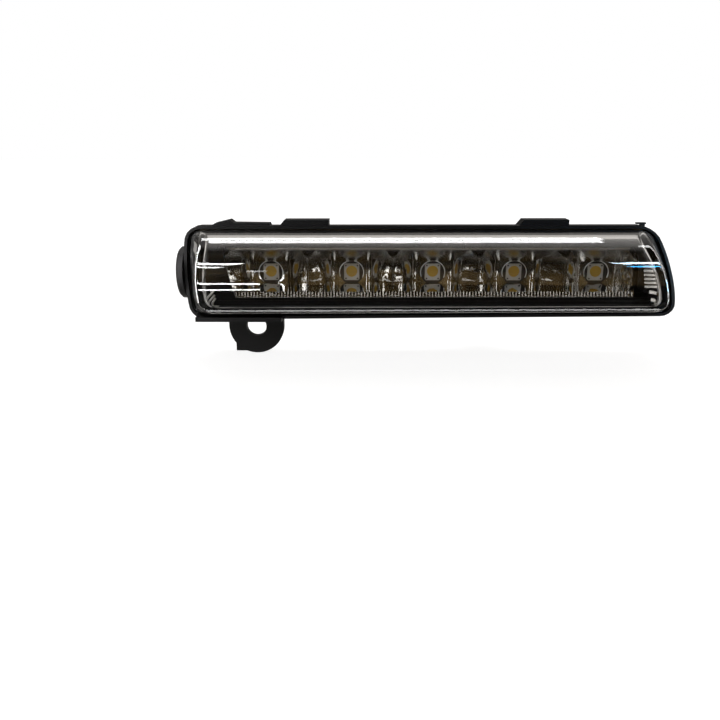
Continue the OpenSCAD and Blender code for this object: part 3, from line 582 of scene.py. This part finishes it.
both = add(tree, "ShaderNodeAddShader", [(0, seen.outputs[0]), (1, lit.outputs[0])])
behind = graded(tree, object_axes(tree)["Y"], SHEET_EDGE, SHEET_FULL)
sheet = add(tree, "ShaderNodeMix", [(0, behind)], data_type="RGBA")
sheet.inputs[6].default_value = linear("#1c1a17")
sheet.inputs[7].default_value = linear("#d2cfca")
mirrored = add(tree, "ShaderNodeEmission", [("Color", sheet.outputs[2])], Strength=1.0)
path = add(tree, "ShaderNodeLightPath")
pick = add(tree, "ShaderNodeMixShader", [("Fac", path.outputs["Is Camera Ray"]),
                                         (1, mirrored.outputs[0]), (2, both.outputs[0])])
add(tree, "ShaderNodeOutputMaterial", [("Surface", pick.outputs[0])])
floor_data.materials.append(paper)

# Room: white where the camera looks past the lamp. For all other rays it has a pale ceiling and
# wall behind the lamp, and a dim, patchy brown room in front, as the photographed mirrors show.
world = bpy.data.worlds.new("studio")
bpy.context.scene.world = world
world.use_nodes = True
tree = world.node_tree
tree.nodes.clear()
direction = add(tree, "ShaderNodeTexCoord")
parts = add(tree, "ShaderNodeSeparateXYZ", [("Vector", direction.outputs["Generated"])])
angle = add(tree, "ShaderNodeMath", [(0, parts.outputs["Z"]), (1, parts.outputs["Y"])],
            operation="ARCTAN2")
ramp = add(tree, "ShaderNodeValToRGB", [("Fac", graded(tree, angle.outputs[0], -math.pi, math.pi))])
ROOM = [(-180, "#6a593c"), (-162, "#4a3d28"), (-150, "#231f1a"), (-100, "#1c1a17"),
        (-60, "#8a8681"), (0, "#1a1919"), (11, "#1a1919"), (20, "#a09c97"), (46, "#d8d4cf"),
        (86, "#d4d0cb"), (95, "#b4b0ab"), (103, "#423d38"), (115, "#3a3224"), (135, "#54462e"),
        (150, "#4a3d28"), (168, "#6a593c"), (180, "#6a593c")]
while len(ramp.color_ramp.elements) < len(ROOM):
    ramp.color_ramp.elements.new(0.5)
for element, (degrees, colour) in zip(ramp.color_ramp.elements, ROOM):
    element.position = degrees / 360 + 0.5
    element.color = linear(colour)
clutter = add(tree, "ShaderNodeTexNoise", [("Vector", direction.outputs["Generated"])],
              Scale=7.0, Detail=3.0)
patches = graded(tree, clutter.outputs["Fac"], 0.4, 0.6, 0.25, 1.5)
in_front = graded(tree, parts.outputs["Y"], -0.3, -0.6)
strength = add(tree, "ShaderNodeMix", [(0, in_front), (3, patches)], data_type="FLOAT")
strength.inputs[2].default_value = 1.0
room = add(tree, "ShaderNodeBackground", [("Color", ramp.outputs["Color"]),
                                          ("Strength", strength.outputs[0])])
white = add(tree, "ShaderNodeBackground", Color=linear("#ffffff"), Strength=1.0)
path = add(tree, "ShaderNodeLightPath")
pick = add(tree, "ShaderNodeMixShader", [("Fac", path.outputs["Is Camera Ray"]),
                                         (1, room.outputs[0]), (2, white.outputs[0])])
add(tree, "ShaderNodeOutputWorld", [("Surface", pick.outputs[0])])


# Lamps of the studio: a long soft box above and behind, whose image lies along the bullnose, two
# broad ones in front, and windows that the cells mirror. The tubes and strips are seen in the
# lens's outer face alone, where their images cross its ends and run along its edges.
def soft_box(name, middle, aim, size, radiance, colour="#ffffff", hidden=()):
    light = bpy.data.lights.new(name, "AREA")
    light.shape = "RECTANGLE"
    light.size, light.size_y = size[0] * MM, size[1] * MM
    light.energy = radiance * math.pi * light.size * light.size_y
    light.color = linear(colour)[:3]
    box = bpy.data.objects.new(name, light)
    look = (at(*aim) - at(*middle)).normalized()
    box.matrix_world = (Matrix.Translation(at(*middle))
                        @ look.to_track_quat("-Z", "Y").to_matrix().to_4x4())
    bpy.context.scene.collection.objects.link(box)
    box.visible_camera = False
    for kind in hidden:
        setattr(box, "visible_" + kind, False)


def seen_at(aim, across, up, distance):
    a, e = math.radians(across), math.radians(up)
    return (aim[0] + distance * math.sin(a) * math.cos(e),
            aim[1] - distance * math.cos(a) * math.cos(e), aim[2] + distance * math.sin(e))


MIDDLE, LEFT_END, RIGHT_END = (0, 0, 3), (-74, -24, 5), (66, -24, 5)
FRONT_DISTANCE, WINDOW_DISTANCE, TUBE_DISTANCE, NEAR_DISTANCE = 1500, 1200, 900, 130
IN_MIRRORS_ONLY, ON_LENS_ONLY = ("glossy",), ("diffuse", "transmission")
WHITE, PALE_BLUE, BLUE, ICE_BLUE = "#ffffff", "#d4eaff", "#3aa4ea", "#9fd8ff"
soft_box("long soft box", (-16, 268, 545), (0, -15, 15), (528, 136), 8.5)
for name, across in (("left front light", -51), ("right front light", 51)):
    soft_box(name, seen_at(MIDDLE, across, 27, FRONT_DISTANCE), MIDDLE, (1150, 560), 2.2)
for number, (across, width) in enumerate(((-49, 90), (-12.5, 40), (48, 90)), 1):
    soft_box(f"window {number}", seen_at(MIDDLE, across, 10.5, WINDOW_DISTANCE), MIDDLE,
             (width, 110), 6.0, hidden=IN_MIRRORS_ONLY)
for name, aim, across, up, distance, size, radiance, colour in (
        ("upper left tube", LEFT_END, -26, 31, TUBE_DISTANCE, (380, 90), 24.0, WHITE),
        ("lower left tube", LEFT_END, -26, 21.5, TUBE_DISTANCE, (380, 55), 24.0, WHITE),
        ("level left tube", LEFT_END, -23.5, 0, TUBE_DISTANCE, (480, 30), 24.0, WHITE),
        ("low left tube", LEFT_END, -20, -11.5, NEAR_DISTANCE, (67, 5), 24.0, WHITE),
        ("upper right tube", RIGHT_END, 34.5, 32.5, TUBE_DISTANCE, (350, 75), 32.0, PALE_BLUE),
        ("lower right tube", RIGHT_END, 34, 23.5, TUBE_DISTANCE, (380, 50), 32.0, BLUE)):
    soft_box(name, seen_at(aim, across, up, distance), aim, size, radiance, colour, ON_LENS_ONLY)
for name, middle, aim, size, radiance, colour in (
        ("left side strip", (-120, -22, 54), (-88, -22, 54), (26, 156), 16.0, WHITE),
        ("right side strip", (116, -24, 54), (84, -24, 54), (16, 156), 9.0, WHITE),
        ("low right strip", (115, -24, 0), (84, -24, 0), (24, 9), 30.0, ICE_BLUE),
        ("strip before the foot", (-5, -34, -23.5), (-5, -34, 0), (190, 14), 6.0, WHITE)):
    soft_box(name, middle, aim, size, radiance, colour, ON_LENS_ONLY)

bpy.context.scene.view_settings.view_transform = "Standard"
